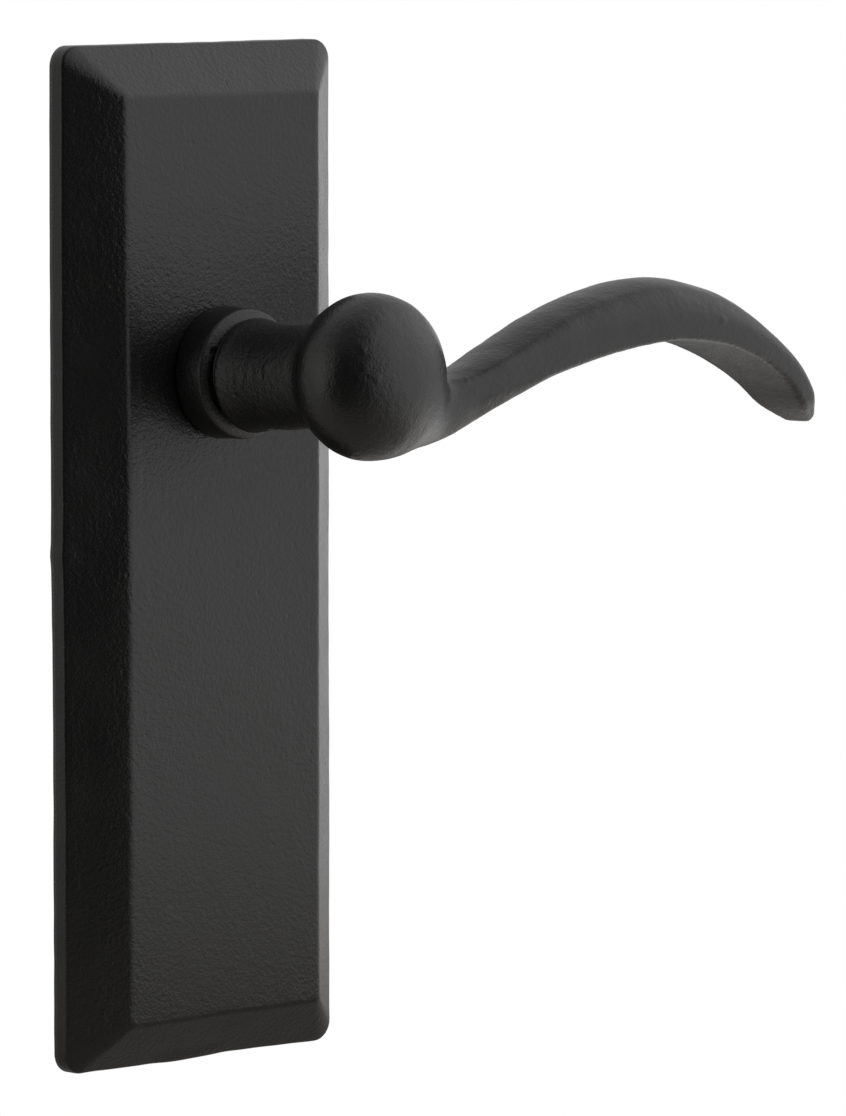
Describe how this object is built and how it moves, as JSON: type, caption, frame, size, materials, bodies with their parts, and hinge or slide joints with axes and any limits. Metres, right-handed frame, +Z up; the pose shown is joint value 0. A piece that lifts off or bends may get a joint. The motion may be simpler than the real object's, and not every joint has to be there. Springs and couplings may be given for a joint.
{
  "type": "door lever on backplate",
  "caption": "Sprung door lever with a flattened ball and S-curved arm on a tall bevelled cast backplate, with a plain collar, square spindle, return spring, stops and threaded mounting posts.",
  "frame": {"origin": "on the spindle's axis, on the plane of the door face that the backplate's rim rests on", "axes": "+Z up the backplate, +X towards the lever's tip, +Y into the door, so the front faces -Y"},
  "size_m": [0.1417, 0.0847, 0.18],
  "materials": {
    "black_iron": "satin black coat over sand-cast iron, with a fine grain",
    "black_nylon": "plain turned nylon",
    "bright_steel": "drawn bar and stamped sheet, lightly oiled",
    "zinc_steel": "zinc plated, dull blue-white",
    "spring_steel": "oil-tempered spring wire",
    "black_steel": "black oxide"
  },
  "bodies": {
    "plate": {"backplate": "black_iron", "rose_collar": "black_iron", "shank_bush": "black_nylon", "mounting_posts": "zinc_steel", "stop_pin": "bright_steel", "return_spring": "spring_steel", "spring_housing": "zinc_steel", "housing_screws": "zinc_steel"},
    "lever": {"lever_handle": "black_iron", "spindle": "bright_steel", "set_screw": "black_steel", "thrust_washer": "bright_steel", "retaining_ring": "spring_steel", "stop_cam": "bright_steel", "drive_pin": "bright_steel"}
  },
  "joints": [
    {"name": "lever_turn", "type": "hinge", "parent": "plate", "child": "lever", "pos_m": [0, 0, 0], "axis": [0, 1, 0], "range_deg": [0, 50], "stiffness_Nm_per_rad": 0.8, "springref_deg": -22.92, "deforming": ["return_spring"]}
  ]
}
